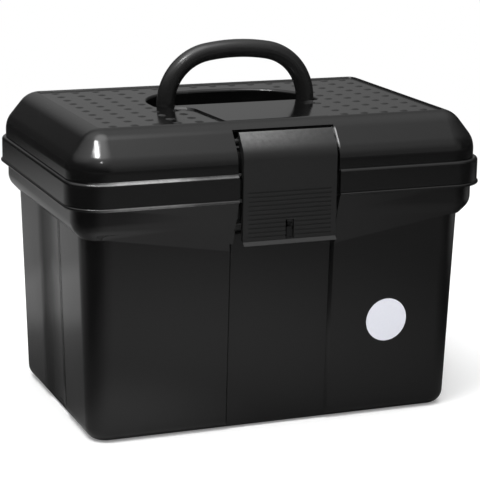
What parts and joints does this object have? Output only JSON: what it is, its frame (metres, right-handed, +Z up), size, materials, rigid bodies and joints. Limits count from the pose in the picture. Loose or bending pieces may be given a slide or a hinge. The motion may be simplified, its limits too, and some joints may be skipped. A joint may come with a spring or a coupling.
{
  "type": "horse grooming box",
  "caption": "Carry box of moulded plastic for horse grooming tools: tub, hinged lid with a stepping top, fold-down handle, front flap latch and lift-out tray.",
  "frame": {"origin": "middle of the box's underside, on the ground", "axes": "+Z up, +X along the long side to the right as seen from the latch, the latch faces -Y"},
  "size_m": [0.4, 0.2867, 0.3413],
  "materials": {
    "black_plastic": "glossy moulded",
    "tray_plastic": "glossy moulded",
    "steel": "drawn wire"
  },
  "bodies": {
    "tub": {"base_tub": "black_plastic", "hinge_pin_left": "steel", "hinge_pin_right": "steel"},
    "lid": {"lid": "black_plastic", "handle_pin_left": "steel", "handle_pin_right": "steel", "latch_hinge_pin": "steel"},
    "handle": {"carry_handle": "black_plastic"},
    "latch": {"front_latch": "black_plastic"},
    "tray": {"lift_out_tray": "tray_plastic"}
  },
  "joints": [
    {"name": "lid_hinge", "type": "hinge", "parent": "tub", "child": "lid", "pos_m": [0, 0.1435, 0.2195], "axis": [-1, 0, 0], "range_deg": [0, 105]},
    {"name": "latch_flap", "type": "hinge", "parent": "lid", "child": "latch", "pos_m": [0, -0.11867, 0.26843], "axis": [-1, 0, 0], "range_deg": [0, 110]},
    {"name": "handle_fold", "type": "hinge", "parent": "lid", "child": "handle", "pos_m": [0, 0, 0.271], "axis": [-1, 0, 0], "range_deg": [0, 93]},
    {"name": "tray_lift", "type": "slide", "parent": "tub", "child": "tray", "axis": [0, 0, 1], "range_m": [0, 0.022]}
  ]
}
